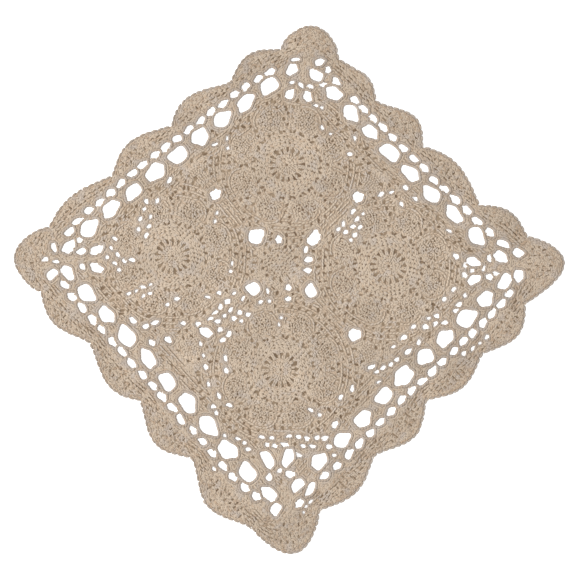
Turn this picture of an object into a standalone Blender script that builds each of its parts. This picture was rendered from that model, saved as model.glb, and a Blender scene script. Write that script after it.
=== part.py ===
"""A square crochet doily lying flat, 300 mm along a side on average.

Four round flower medallions and a small centre motif are joined, and a net of large and small chain
loops runs round them to an edging of scallop shells. The doily is one solid of even thickness, cut
through at its larger gaps. It lies on z = 0 with its sides along X and Y. Tables are in millimetres.
"""

import math
import random
from collections import namedtuple

import bpy

MM = 0.001
THICKNESS = 2.0 * MM
SMALLEST_CUT = 4.0
LEAST_WEB = 1.9

# Each corner's tip, and the pair of loops on its way to the medallion
Corner = namedtuple("Corner", "x y pair_depth pair_shift pair_spread pair_long pair_wide")
CORNERS = {
    "back_left": Corner(-135.5, 170.4, 66, -2.0, 7.0, 11.0, 6.0),
    "back_right": Corner(156.5, 136.0, 56, 1.5, 7.0, 8.2, 6.0),
    "front_right": Corner(169.4, -136.5, 71, 6.5, 7.0, 11.0, 6.4),
    "front_left": Corner(-141.5, -151.0, 74, 8.5, 8.0, 15.0, 8.0),
}

# Other gaps near a tip, by their depth towards the medallion and their distance across
CornerGap = namedtuple("CornerGap", "depth across long wide turn")
CORNER_GAPS = {
    "back_left": (
        CornerGap(31, -14, 10.0, 6.5, 45),
        CornerGap(32.5, 7, 7.5, 3.5, 110),
        CornerGap(54, 4, 7.5, 4.5, 15),
    ),
    "back_right": (
        CornerGap(28, 14, 7.5, 5.0, 120),
        CornerGap(28.5, -5, 7.0, 2.5, 105),
        CornerGap(33, 21.5, 5.5, 4.0, 0),
    ),
    "front_right": (
        CornerGap(35.5, -6, 8.5, 6.5, 160),
        CornerGap(36, 12, 9.5, 7.5, 85),
        CornerGap(47, -13.5, 10.5, 5.0, 155),
        CornerGap(59, 12, 5.5, 4.5, 150),
    ),
    "front_left": (
        CornerGap(34.5, 13.5, 10.0, 7.5, 150),
        CornerGap(37.5, -5.5, 7.5, 5.0, 135),
        CornerGap(48, -15, 12.5, 5.0, 145),
        CornerGap(61, 0, 7.0, 5.5, 80),
        CornerGap(60, 16.5, 6.0, 4.5, 160),
    ),
}

# The rows of chain loops along a side: the large loops' number, first and last place and crowding,
# how far in from the line of tips they lie, their size, and how the outer and inner rows go with them
Side = namedtuple(
    "Side",
    "start end loops first last skew inset_start inset_end sag loop_long loop_wide small_inset phase"
    " open_share",
)
SIDES = {
    "back": Side("back_left", "back_right", 11, 39, 263, 0.0, 21, 21, 3.5, 15.0, 11.0, 10.5, 0.1, 0.4),
    "right": Side("back_right", "front_right", 10, 33, 235, -0.14, 24, 33, -2.5, 15.5, 10.0, 9.5, 0.0, 0.25),
    "front": Side("front_right", "front_left", 11, 45, 272, -0.1, 22, 35, -1.5, 15.5, 11.5, 12.0, -0.05, 0.4),
    "left": Side("front_left", "back_left", 11, 47, 283, 0.03, 15, 23, -0.5, 17.0, 11.0, 11.5, 0.0, 0.4),
}

Seeds = namedtuple("Seeds", "large small inner")
SEEDS = {
    "back": Seeds(1192, 569, 2270),
    "right": Seeds(592, 2137, 204),
    "front": Seeds(2002, 2253, 2137),
    "left": Seeds(527, 82, 2296),
}

# Where each scallop starts, how far its crown stands out, the share of it where it peaks, its roundness
Notch = namedtuple("Notch", "along inward crown peak roundness")
NOTCHES = {
    "back": (
        Notch(37, -1, 7.5, 0.45, 1.2),
        Notch(101, -2, 11, 0.45, 1.2),
        Notch(162, -4, 10, 0.4, 1.2),
        Notch(219, -2, 10, 0.5, 1.1),
        Notch(266, 2, 21.5, 0.5, 0.6),
    ),
    "right": (
        Notch(36, 2, 7, 0.6, 1.2),
        Notch(81, 7, 12, 0.6, 1.0),
        Notch(132, 9, 9.5, 0.45, 1.1),
        Notch(196, 13, 8.5, 0.5, 1.0),
        Notch(240, 6, 29.5, 0.4, 0.9),
    ),
    "front": (
        Notch(46, -2, 11.5, 0.45, 1.2),
        Notch(99, -4, 10, 0.5, 1.2),
        Notch(155, 4, 12.5, 0.45, 1.4),
        Notch(215, 5, 10, 0.5, 1.1),
        Notch(275, 8, 27, 0.5, 0.8),
    ),
    "left": (
        Notch(36, -13, 15, 0.5, 1.5),
        Notch(110, -9, 13.5, 0.45, 1.3),
        Notch(171, -7, 10.5, 0.4, 1.3),
        Notch(231, -4, 9.5, 0.55, 1.1),
        Notch(286, -4, 24, 0.5, 0.7),
    ),
}
SCALLOP_STEPS = 9

Medallion = namedtuple("Medallion", "x y")
MEDALLIONS = {
    "back_left": Medallion(-46.5, 81.6),
    "back_right": Medallion(67.8, 68.9),
    "front_right": Medallion(67.9, -43.8),
    "front_left": Medallion(-49.5, -41.3),
}
MEDALLION_RADIUS = 46.0

# The two gaps between neighbouring medallions, by their distance from the middle of the join
Joint = namedtuple(
    "Joint",
    "inner inner_slide inner_long inner_wide inner_turn outer outer_slide outer_long outer_wide outer_turn",
)
JOINTS = {
    "back": Joint(28.6, 3.5, 12.8, 10.8, 0, 17.0, -0.8, 8.8, 7.0, 10),
    "right": Joint(25.8, -0.8, 13.0, 7.8, -78, 21.4, 0.9, 8.0, 7.8, 0),
    "front": Joint(28.5, -1.2, 10.6, 8.2, 60, 20.3, -2.1, 9.6, 9.0, 0),
    "left": Joint(28.2, -0.4, 10.8, 9.4, 30, 22.2, 0.5, 10.8, 6.6, 20),
}

# The gaps round the centre motif
CENTRE = (9.3, 18.4)
CentreGap = namedtuple("CentreGap", "angle reach long wide turn")
CENTRE_GAPS = (
    CentreGap(48, 18.5, 6.4, 4.0, 0),
    CentreGap(-18, 23.0, 5.6, 2.8, 40),
    CentreGap(-38, 22.6, 6.4, 4.0, 0),
    CentreGap(-60, 22.4, 5.8, 4.0, 0),
    CentreGap(-116, 20.4, 4.8, 4.4, 0),
    CentreGap(-122, 28.9, 5.0, 3.0, 90),
)

CORNER_LOOP = (12.8, 8.4)
SMALL_LOOP = (8.2, 4.9)
INNER_LOOP = (5.8, 3.6)
INNER_ROWS_APART = 11.5
INNER_CLEAR = 7.0
SMALL_TURN_IN = 4.5
SMALL_TURN_POWER = 8
PAIR_LEAN = 25
SIZE_SPREAD = 0.14
PLACE_SPREAD = 0.8
LEAN_SPREAD = 16
SMALLEST_SHARE = 0.6
SHRINK_STEP = 0.1
OUTLINE_POINTS = ((8.0, 10), (6.0, 8), (0.0, 6))
LUMPS = 3
LUMP_HEIGHT = 0.07

YARN_COLOUR = (0.52, 0.42, 0.33, 1.0)
YARN_ROUGHNESS = 0.9

Gap = namedtuple("Gap", "x y long wide turn")


def mix(a, b, share):
    return a + (b - a) * share


def on_side(side, along, inward):
    """The point this far along a side from its first corner tip, and this far in from the line of tips."""
    start, end = CORNERS[side.start], CORNERS[side.end]
    length = math.dist((start.x, start.y), (end.x, end.y))
    east, north = (end.x - start.x) / length, (end.y - start.y) / length
    return (
        start.x + east * along + north * inward,
        start.y + north * along - east * inward,
    )


def heading(side):
    start, end = CORNERS[side.start], CORNERS[side.end]
    return math.degrees(math.atan2(end.y - start.y, end.x - start.x))


def scallop(start, end, notch):
    """Points of one scallop from its notch, start, up to the next one, end. It swells to the left."""
    chord = math.dist(start, end)
    east, north = (end[0] - start[0]) / chord, (end[1] - start[1]) / chord
    lean = math.log(0.5) / math.log(notch.peak)
    points = []
    for step in range(SCALLOP_STEPS):
        share = (step / SCALLOP_STEPS) ** lean
        out = notch.crown * math.sin(math.pi * share) ** notch.roundness
        along = chord * step / SCALLOP_STEPS
        points.append((start[0] + east * along - north * out, start[1] + north * along + east * out))
    return points


def edge_outline():
    """The scalloped edge, clockwise from the first notch of the back side."""
    starts = []
    for name, side in SIDES.items():
        for notch in NOTCHES[name]:
            starts.append((on_side(side, notch.along, notch.inward), notch))
    points = []
    for (start, notch), (end, _) in zip(starts, starts[1:] + starts[:1]):
        points += scallop(start, end, notch)
    return points


def loop_place(side, index, inward):
    """The centre of a loop in the rows along a side. The whole indices are the large loops."""
    share = index / (side.loops - 1)
    along = mix(side.first, side.last, share + side.skew * share * (1 - share))
    inset = mix(side.inset_start, side.inset_end, share) - 4 * side.sag * share * (1 - share)
    return on_side(side, along, inset + inward)


def uneven(place, size, turn, pull):
    """A gap whose place, size and lean vary as hand work does."""
    return Gap(
        place[0] + pull.uniform(-1, 1) * PLACE_SPREAD,
        place[1] + pull.uniform(-1, 1) * PLACE_SPREAD,
        size[0] * (1 + pull.uniform(-1, 1) * SIZE_SPREAD),
        size[1] * (1 + pull.uniform(-1, 1) * SIZE_SPREAD),
        turn + pull.uniform(-1, 1) * LEAN_SPREAD,
    )


def large_loops(side, pull):
    gaps = []
    for index in range(side.loops):
        at_corner = index in (0, side.loops - 1)
        size = CORNER_LOOP if at_corner else (side.loop_long, side.loop_wide)
        gaps.append(uneven(loop_place(side, index, 0), size, heading(side), pull))
    return gaps


def small_loops(side, pull):
    """The outer row, two loops to each large one. It turns in a little towards the corners."""
    gaps = []
    for step in range(2 * side.loops):
        index = (step - 0.5) / 2 + side.phase
        turned_in = SMALL_TURN_IN * abs(2 * index / (side.loops - 1) - 1) ** SMALL_TURN_POWER
        place = loop_place(side, index, turned_in - side.small_inset)
        gaps.append(uneven(place, SMALL_LOOP, heading(side), pull))
    return gaps


def inner_loops(side, pull):
    """Two rows between the large loops and the medallions, open only here and there."""
    gaps = []
    for row in (1, 2):
        for step in range(2 * side.loops - 1):
            place = loop_place(side, step / 2 + row / 4, row * INNER_ROWS_APART)
            clear = min(math.dist(place, m) for m in MEDALLIONS.values()) - MEDALLION_RADIUS
            gap = uneven(place, INNER_LOOP, heading(side), pull)
            if clear > INNER_CLEAR and pull.random() < side.open_share:
                gaps.append(gap)
    return gaps


def corner_loops(name):
    """The gaps near a tip, and the pair of loops further in that spread towards the medallion."""
    corner, medallion = CORNERS[name], MEDALLIONS[name]
    reach = math.dist(corner[:2], medallion)
    east, north = (medallion.x - corner.x) / reach, (medallion.y - corner.y) / reach
    turn = math.degrees(math.atan2(north, east))
    rows = list(CORNER_GAPS[name])
    for way in (-1, 1):
        across = corner.pair_shift + way * corner.pair_spread
        size = corner.pair_long, corner.pair_wide
        rows.append(CornerGap(corner.pair_depth, across, *size, way * PAIR_LEAN))
    gaps = []
    for row in rows:
        x = corner.x + east * row.depth - north * row.across
        y = corner.y + north * row.depth + east * row.across
        gaps.append(Gap(x, y, row.long, row.wide, turn + row.turn))
    return gaps


def joint_gaps(name):
    """The two gaps where a pair of medallions meet: one towards the centre, one towards the side."""
    joint, side = JOINTS[name], SIDES[name]
    first, second = MEDALLIONS[side.start], MEDALLIONS[side.end]
    apart = math.dist(first, second)
    east, north = (second.x - first.x) / apart, (second.y - first.y) / apart
    turn = math.degrees(math.atan2(north, east))
    gaps = []
    for out, slide, long, wide, lean in (
        (-joint.inner, joint.inner_slide, joint.inner_long, joint.inner_wide, joint.inner_turn),
        (joint.outer, joint.outer_slide, joint.outer_long, joint.outer_wide, joint.outer_turn),
    ):
        x = (first.x + second.x) / 2 + east * slide - north * out
        y = (first.y + second.y) / 2 + north * slide + east * out
        gaps.append(Gap(x, y, long, wide, turn + lean))
    return gaps


def centre_gaps():
    gaps = []
    for gap in CENTRE_GAPS:
        angle = math.radians(gap.angle)
        x = CENTRE[0] + gap.reach * math.cos(angle)
        y = CENTRE[1] + gap.reach * math.sin(angle)
        gaps.append(Gap(x, y, gap.long, gap.wide, gap.angle + gap.turn))
    return gaps


def reach_towards(gap, angle):
    """The half width of a gap in a direction given in radians."""
    local = angle - math.radians(gap.turn)
    return 0.5 / math.hypot(math.cos(local) / gap.long, math.sin(local) / gap.wide)


def web_between(a, b):
    angle = math.atan2(b.y - a.y, b.x - a.x)
    return math.dist(a[:2], b[:2]) - reach_towards(a, angle) - reach_towards(b, angle)


def all_gaps():
    """Every gap of the doily, each made smaller or left out where it would come too near one before it."""
    wanted = []
    for name in SIDES:
        wanted += joint_gaps(name)
    for name in CORNERS:
        wanted += corner_loops(name)
    wanted += centre_gaps()
    for name, side in SIDES.items():
        wanted += large_loops(side, random.Random(SEEDS[name].large))
    for name, side in SIDES.items():
        wanted += small_loops(side, random.Random(SEEDS[name].small))
    for name, side in SIDES.items():
        wanted += inner_loops(side, random.Random(SEEDS[name].inner))
    kept = []
    for gap in wanted:
        size = 1.0
        while size >= SMALLEST_SHARE:
            trial = gap._replace(long=gap.long * size, wide=gap.wide * size)
            if all(web_between(trial, other) >= LEAST_WEB for other in kept):
                kept.append(trial)
                break
            size -= SHRINK_STEP
    return kept


def gap_outline(gap, phase):
    """A rounded, slightly cornered outline, anticlockwise."""
    steps = next(points for over, points in OUTLINE_POINTS if gap.long > over)
    turn = math.radians(gap.turn)
    points = []
    for step in range(steps):
        angle = 2 * math.pi * step / steps
        lump = 1 + LUMP_HEIGHT * math.cos(LUMPS * angle + phase)
        along = lump * gap.long / 2 * math.cos(angle)
        across = lump * gap.wide / 2 * math.sin(angle)
        points.append(
            (
                gap.x + along * math.cos(turn) - across * math.sin(turn),
                gap.y + along * math.sin(turn) + across * math.cos(turn),
            )
        )
    return points


def add_outline(curve, points, middle):
    spline = curve.splines.new("POLY")
    spline.points.add(len(points) - 1)
    for place, (x, y) in zip(spline.points, points):
        place.co = ((x - middle[0]) * MM, (y - middle[1]) * MM, 0.0, 1.0)
    spline.use_cyclic_u = True


def yarn_material():
    material = bpy.data.materials.new("cotton_yarn")
    material.use_nodes = True
    shader = material.node_tree.nodes["Principled BSDF"]
    shader.inputs["Base Color"].default_value = YARN_COLOUR
    shader.inputs["Roughness"].default_value = YARN_ROUGHNESS
    shader.inputs["Metallic"].default_value = 0.0
    return material


def make_doily(collection):
    edge = edge_outline()
    middle = [(max(p[k] for p in edge) + min(p[k] for p in edge)) / 2 for k in (0, 1)]
    curve = bpy.data.curves.new("doily", "CURVE")
    curve.dimensions = "2D"
    curve.fill_mode = "BOTH"
    curve.extrude = THICKNESS / 2
    add_outline(curve, edge, middle)
    for number, gap in enumerate(all_gaps()):
        if math.sqrt(gap.long * gap.wide) > SMALLEST_CUT:
            add_outline(curve, gap_outline(gap, number), middle)
    doily = bpy.data.objects.new("doily", curve)
    doily.location.z = THICKNESS / 2
    doily.data.materials.append(yarn_material())
    collection.objects.link(doily)


def main():
    for old in list(bpy.data.objects):
        bpy.data.objects.remove(old)
    collection = bpy.data.collections.new("crochet_doily")
    bpy.context.scene.collection.children.link(collection)
    make_doily(collection)


main()
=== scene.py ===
"""Looks of the crochet doily: its yarn, stitch by stitch, on a thin ground that has the solid's outline.

The layout's tables and functions repeat those of the solid, in millimetres. Every stitch is made of
grains, low domes or spindles of yarn. They are laid row by row, each only where no yarn lies yet.
"""

import math
import random
from collections import namedtuple

import bpy
import numpy as np
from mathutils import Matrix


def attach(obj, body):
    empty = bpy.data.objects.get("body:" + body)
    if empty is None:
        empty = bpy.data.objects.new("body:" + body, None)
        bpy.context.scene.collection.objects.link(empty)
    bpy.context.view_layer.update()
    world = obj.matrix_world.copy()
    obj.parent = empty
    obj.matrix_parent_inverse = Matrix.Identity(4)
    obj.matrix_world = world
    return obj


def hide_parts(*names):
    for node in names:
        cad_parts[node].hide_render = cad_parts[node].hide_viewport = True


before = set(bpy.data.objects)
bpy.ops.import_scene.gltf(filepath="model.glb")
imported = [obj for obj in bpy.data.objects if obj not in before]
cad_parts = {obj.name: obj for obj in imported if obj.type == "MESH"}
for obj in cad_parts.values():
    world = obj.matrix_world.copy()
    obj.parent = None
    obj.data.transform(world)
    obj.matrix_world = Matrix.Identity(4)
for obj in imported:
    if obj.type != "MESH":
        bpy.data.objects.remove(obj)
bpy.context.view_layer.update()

MM = 0.001
LEAST_WEB = 1.9

# Each corner's tip, and the pair of loops on its way to the medallion
Corner = namedtuple("Corner", "x y pair_depth pair_shift pair_spread pair_long pair_wide")
CORNERS = {
    "back_left": Corner(-135.5, 170.4, 66, -2.0, 7.0, 11.0, 6.0),
    "back_right": Corner(156.5, 136.0, 56, 1.5, 7.0, 8.2, 6.0),
    "front_right": Corner(169.4, -136.5, 71, 6.5, 7.0, 11.0, 6.4),
    "front_left": Corner(-141.5, -151.0, 74, 8.5, 8.0, 15.0, 8.0),
}

# Other gaps near a tip, by their place on the way to the medallion
WayGap = namedtuple("WayGap", "along left long wide turn")
CORNER_GAPS = {
    "back_left": [
        (31, -14, 10.0, 6.5, 45), (32.5, 7, 7.5, 3.5, 110), (54, 4, 7.5, 4.5, 15),
    ],
    "back_right": [
        (28, 14, 7.5, 5.0, 120), (28.5, -5, 7.0, 2.5, 105), (33, 21.5, 5.5, 4.0, 0),
    ],
    "front_right": [
        (35.5, -6, 8.5, 6.5, 160), (36, 12, 9.5, 7.5, 85), (47, -13.5, 10.5, 5.0, 155),
        (59, 12, 5.5, 4.5, 150),
    ],
    "front_left": [
        (34.5, 13.5, 10.0, 7.5, 150), (37.5, -5.5, 7.5, 5.0, 135), (48, -15, 12.5, 5.0, 145),
        (61, 0, 7.0, 5.5, 80), (60, 16.5, 6.0, 4.5, 160),
    ],
}
CORNER_GAPS = {name: [WayGap(*row) for row in rows] for name, rows in CORNER_GAPS.items()}

# The rows of chain loops along a side: the large loops' number, first and last place and crowding,
# how far in from the line of tips they lie, their size, and how the outer and inner rows go with them
Side = namedtuple(
    "Side",
    "start end loops first last skew inset_start inset_end sag loop_long loop_wide small_inset phase"
    " open_share",
)
SIDES = {
    "back": Side("back_left", "back_right", 11, 39, 263, 0.0, 21, 21, 3.5, 15.0, 11.0, 10.5, 0.1, 0.4),
    "right": Side("back_right", "front_right", 10, 33, 235, -0.14, 24, 33, -2.5, 15.5, 10.0, 9.5, 0.0, 0.25),
    "front": Side(
        "front_right", "front_left", 11, 45, 272, -0.1, 22, 35, -1.5, 15.5, 11.5, 12.0, -0.05, 0.4
    ),
    "left": Side("front_left", "back_left", 11, 47, 283, 0.03, 15, 23, -0.5, 17.0, 11.0, 11.5, 0.0, 0.4),
}

Seeds = namedtuple("Seeds", "large small inner")
SEEDS = {
    "back": Seeds(1192, 569, 2270),
    "right": Seeds(592, 2137, 204),
    "front": Seeds(2002, 2253, 2137),
    "left": Seeds(527, 82, 2296),
}

# Where each scallop starts, how far its crown stands out, the share of it where it peaks, its roundness
Notch = namedtuple("Notch", "along inward crown peak roundness")
NOTCHES = {
    "back": [
        (37, -1, 7.5, 0.45, 1.2), (101, -2, 11, 0.45, 1.2), (162, -4, 10, 0.4, 1.2),
        (219, -2, 10, 0.5, 1.1), (266, 2, 21.5, 0.5, 0.6),
    ],
    "right": [
        (36, 2, 7, 0.6, 1.2), (81, 7, 12, 0.6, 1.0), (132, 9, 9.5, 0.45, 1.1),
        (196, 13, 8.5, 0.5, 1.0), (240, 6, 29.5, 0.4, 0.9),
    ],
    "front": [
        (46, -2, 11.5, 0.45, 1.2), (99, -4, 10, 0.5, 1.2), (155, 4, 12.5, 0.45, 1.4),
        (215, 5, 10, 0.5, 1.1), (275, 8, 27, 0.5, 0.8),
    ],
    "left": [
        (36, -13, 15, 0.5, 1.5), (110, -9, 13.5, 0.45, 1.3), (171, -7, 10.5, 0.4, 1.3),
        (231, -4, 9.5, 0.55, 1.1), (286, -4, 24, 0.5, 0.7),
    ],
}
NOTCHES = {name: [Notch(*row) for row in rows] for name, rows in NOTCHES.items()}
SOLID_STEPS = 9
EDGE_STEPS = 24

Medallion = namedtuple("Medallion", "x y")
MEDALLIONS = {
    "back_left": Medallion(-46.5, 81.6),
    "back_right": Medallion(67.8, 68.9),
    "front_right": Medallion(67.9, -43.8),
    "front_left": Medallion(-49.5, -41.3),
}
MEDALLION_RADIUS = 46.0

# The two gaps between neighbouring medallions, along and out from the middle of the join
JOINT_GAPS = {
    "back": (WayGap(3.5, -28.6, 12.8, 10.8, 0), WayGap(-0.8, 17.0, 8.8, 7.0, 10)),
    "right": (WayGap(-0.8, -25.8, 13.0, 7.8, -78), WayGap(0.9, 21.4, 8.0, 7.8, 0)),
    "front": (WayGap(-1.2, -28.5, 10.6, 8.2, 60), WayGap(-2.1, 20.3, 9.6, 9.0, 0)),
    "left": (WayGap(-0.4, -28.2, 10.8, 9.4, 30), WayGap(0.5, 22.2, 10.8, 6.6, 20)),
}

# The gaps round the centre motif
CENTRE = (9.3, 18.4)
CentreGap = namedtuple("CentreGap", "angle reach long wide turn")
CENTRE_GAPS = [
    CentreGap(*row)
    for row in (
        (48, 18.5, 6.4, 4.0, 0), (-18, 23.0, 5.6, 2.8, 40),
        (-38, 22.6, 6.4, 4.0, 0), (-60, 22.4, 5.8, 4.0, 0),
        (-116, 20.4, 4.8, 4.4, 0), (-122, 28.9, 5.0, 3.0, 90),
    )
]

CORNER_LOOP = (12.8, 8.4)
SMALL_LOOP = (8.2, 4.9)
INNER_LOOP = (5.8, 3.6)
INNER_ROWS_APART = 11.5
INNER_CLEAR = 7.0
SMALL_TURN_IN = 4.5
SMALL_TURN_POWER = 8
PAIR_LEAN = 25
SIZE_SPREAD = 0.14
PLACE_SPREAD = 0.8
LEAN_SPREAD = 16
SMALLEST_SHARE = 0.6
SHRINK_STEP = 0.1
LUMPS = 3
LUMP_HEIGHT = 0.07
BEND_HEIGHT = 0.07

Gap = namedtuple("Gap", "x y long wide turn")


def mix(a, b, share):
    return a + (b - a) * share


def way_to(start, end):
    """The direction from one place to another, as the east and north of a step of one millimetre."""
    length = math.dist(start[:2], end[:2])
    return (end[0] - start[0]) / length, (end[1] - start[1]) / length


def place_on(start, way, along, left):
    """The place this far along a way from the start, and this far to the left of it."""
    return start[0] + way[0] * along - way[1] * left, start[1] + way[1] * along + way[0] * left


def turned(start, angle, along, left):
    """The same, with the way given as an angle in radians."""
    return place_on(start, (math.cos(angle), math.sin(angle)), along, left)


def out_from(centre, angle, reach):
    return turned(centre, angle, reach, 0.0)


def on_side(side, along, inward):
    """The point this far along a side from its first corner tip, and this far in from the line of tips."""
    start, end = CORNERS[side.start], CORNERS[side.end]
    return place_on(start, way_to(start, end), along, -inward)


def side_angle(side):
    start, end = CORNERS[side.start], CORNERS[side.end]
    return math.atan2(end.y - start.y, end.x - start.x)


def heading(side):
    return math.degrees(side_angle(side))


def scallop(start, end, notch, steps):
    """Points of one scallop from its notch, start, up to the next one, end. It swells to the left."""
    chord, way = math.dist(start, end), way_to(start, end)
    lean = math.log(0.5) / math.log(notch.peak)
    points = []
    for step in range(steps):
        share = (step / steps) ** lean
        out = notch.crown * math.sin(math.pi * share) ** notch.roundness
        points.append(place_on(start, way, chord * step / steps, out))
    return points


def notch_place(name, notch, inward=0.0):
    return on_side(SIDES[name], notch.along, notch.inward + inward)


def scallops():
    """Each scallop as the side's name, its own notch, the next side's name and the next notch."""
    notches = [(name, notch) for name in SIDES for notch in NOTCHES[name]]
    return [(*one, *after) for one, after in zip(notches, notches[1:] + notches[:1])]


def edge_outline(steps):
    """The scalloped edge, clockwise from the first notch of the back side."""
    points = []
    for name, notch, next_name, after in scallops():
        points += scallop(notch_place(name, notch), notch_place(next_name, after), notch, steps)
    return points


def loop_place(side, index, inward):
    """The centre of a loop in the rows along a side. The whole indices are the large loops."""
    share = index / (side.loops - 1)
    along = mix(side.first, side.last, share + side.skew * share * (1 - share))
    inset = mix(side.inset_start, side.inset_end, share) - 4 * side.sag * share * (1 - share)
    return on_side(side, along, inset + inward)


def inner_places(side):
    """The centres of two rows between the large loops and the medallions."""
    for row in (1, 2):
        for step in range(2 * side.loops - 1):
            yield loop_place(side, step / 2 + row / 4, row * INNER_ROWS_APART)


def clear_of_medallions(place):
    return min(math.dist(place, centre) for centre in MEDALLIONS.values()) - MEDALLION_RADIUS


def uneven(place, size, turn, pull):
    """A gap whose place, size and lean vary as hand work does."""
    return Gap(
        place[0] + pull.uniform(-1, 1) * PLACE_SPREAD,
        place[1] + pull.uniform(-1, 1) * PLACE_SPREAD,
        size[0] * (1 + pull.uniform(-1, 1) * SIZE_SPREAD),
        size[1] * (1 + pull.uniform(-1, 1) * SIZE_SPREAD),
        turn + pull.uniform(-1, 1) * LEAN_SPREAD,
    )


def large_loops(side, pull):
    gaps = []
    for index in range(side.loops):
        at_corner = index in (0, side.loops - 1)
        size = CORNER_LOOP if at_corner else (side.loop_long, side.loop_wide)
        gaps.append(uneven(loop_place(side, index, 0), size, heading(side), pull))
    return gaps


def small_loops(side, pull):
    """The outer row, two loops to each large one. It turns in a little towards the corners."""
    gaps = []
    for step in range(2 * side.loops):
        index = (step - 0.5) / 2 + side.phase
        turned_in = SMALL_TURN_IN * abs(2 * index / (side.loops - 1) - 1) ** SMALL_TURN_POWER
        place = loop_place(side, index, turned_in - side.small_inset)
        gaps.append(uneven(place, SMALL_LOOP, heading(side), pull))
    return gaps


def inner_loops(side, pull):
    """The two inner rows, open only here and there."""
    gaps = []
    for place in inner_places(side):
        gap = uneven(place, INNER_LOOP, heading(side), pull)
        if clear_of_medallions(place) > INNER_CLEAR and pull.random() < side.open_share:
            gaps.append(gap)
    return gaps


def gaps_on(start, way, rows):
    turn = math.degrees(math.atan2(way[1], way[0]))
    return [Gap(*place_on(start, way, *row[:2]), row.long, row.wide, turn + row.turn) for row in rows]


def corner_loops(name):
    """The gaps near a tip, and the pair of loops further in that spread towards the medallion."""
    corner = CORNERS[name]
    rows = list(CORNER_GAPS[name])
    for hand in (-1, 1):
        left = corner.pair_shift + hand * corner.pair_spread
        rows.append(WayGap(corner.pair_depth, left, corner.pair_long, corner.pair_wide, hand * PAIR_LEAN))
    return gaps_on(corner, way_to(corner, MEDALLIONS[name]), rows)


def join_axis(side):
    """The middle of the join between two medallions, and the way from the first to the second."""
    first, second = MEDALLIONS[side.start], MEDALLIONS[side.end]
    return ((first.x + second.x) / 2, (first.y + second.y) / 2), way_to(first, second)


def centre_gaps():
    gaps = []
    for gap in CENTRE_GAPS:
        place = out_from(CENTRE, math.radians(gap.angle), gap.reach)
        gaps.append(Gap(*place, gap.long, gap.wide, gap.angle + gap.turn))
    return gaps


def reach_towards(gap, angle):
    """The half width of a gap in a direction given in radians."""
    local = angle - math.radians(gap.turn)
    return 0.5 / math.hypot(math.cos(local) / gap.long, math.sin(local) / gap.wide)


def web_between(a, b):
    angle = math.atan2(b.y - a.y, b.x - a.x)
    return math.dist(a[:2], b[:2]) - reach_towards(a, angle) - reach_towards(b, angle)


def all_gaps():
    """Every gap of the doily, each made smaller or left out where it would come too near one before it."""
    wanted = []
    for name in SIDES:
        wanted += gaps_on(*join_axis(SIDES[name]), JOINT_GAPS[name])
    for name in CORNERS:
        wanted += corner_loops(name)
    wanted += centre_gaps()
    for which, loops in enumerate((large_loops, small_loops, inner_loops)):
        for name, side in SIDES.items():
            wanted += loops(side, random.Random(SEEDS[name][which]))
    kept = []
    for gap in wanted:
        size = 1.0
        while size >= SMALLEST_SHARE:
            trial = gap._replace(long=gap.long * size, wide=gap.wide * size)
            if all(web_between(trial, other) >= LEAST_WEB for other in kept):
                kept.append(trial)
                break
            size -= SHRINK_STEP
    return kept


def swelling(angle, phase):
    """How far out a gap's rim goes at an angle: the solid's lumps, and four or five soft corners."""
    corners = 4 + int(phase) % 2
    lumps = LUMP_HEIGHT * np.cos(LUMPS * angle + phase)
    return 1 + lumps + BEND_HEIGHT * np.cos(corners * angle + 2 * phase)


def gap_rim(gap, phase, out, steps):
    """Points of a gap's rounded, slightly cornered rim, moved outwards by out."""
    angle = np.linspace(0, 2 * np.pi, steps, endpoint=False)
    lump = swelling(angle, phase)
    along = (lump * gap.long / 2 + out) * np.cos(angle)
    across = (lump * gap.wide / 2 + out) * np.sin(angle)
    return np.stack(turned(gap, math.radians(gap.turn), along, across), axis=-1)


# Holes between stitches that the solid leaves closed
PETALS = 8
PETAL_LONG = 17.5
PETAL_WIDE = 20.5
PETAL_MIDDLE = 38.0
INNER_HOLE = (4.0, 2.7)
INNER_HOLE_SHARE = {"back": 0.2, "right": 0.3, "front": 0.45, "left": 0.35}
HOLE_WEB = 1.8
HOLE_SEED = 11
HOLE_SHARES = (0.75, 1.2)
HOLE_STRETCH = (0.95, 1.35)
HOLE_TURN = 30
PATCH_SHARE = 0.78
PATCH_ROWS_APART = 0.95
PATCH_LONG = 1.1
PATCH_WIDE = 0.9

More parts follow.
